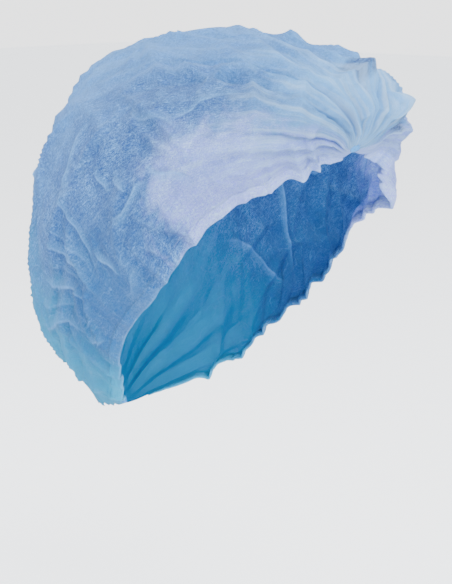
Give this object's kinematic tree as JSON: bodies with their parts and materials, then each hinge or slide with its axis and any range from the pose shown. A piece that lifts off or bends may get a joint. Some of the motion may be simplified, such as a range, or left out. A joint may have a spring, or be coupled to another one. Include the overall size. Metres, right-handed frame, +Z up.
{
  "type": "disposable hairnet cap",
  "caption": "Disposable pleated head cover in thin non-woven cloth, welded at forehead and nape, with an elastic in each side hem.",
  "frame": {"origin": "middle of the head opening at about eye level, where the wearer's head carries the cap", "axes": "+Z up, the wearer faces -Y, the wearer's left side is at +X"},
  "size_m": [0.1907, 0.2352, 0.2306],
  "materials": {
    "cloth": "thin spunbond non-woven, translucent, cloudy light blue",
    "hem_cloth": "the same cloth folded double, a little denser",
    "elastic": "matt white latex-free band",
    "weld": "fused cloth, half gloss, with pressed weld dots"
  },
  "bodies": {
    "root": {"crown": "cloth", "hem_right": "hem_cloth", "hem_left": "hem_cloth", "elastic_right": "elastic", "elastic_left": "elastic", "front_weld": "weld", "nape_weld": "weld"}
  },
  "joints": []
}
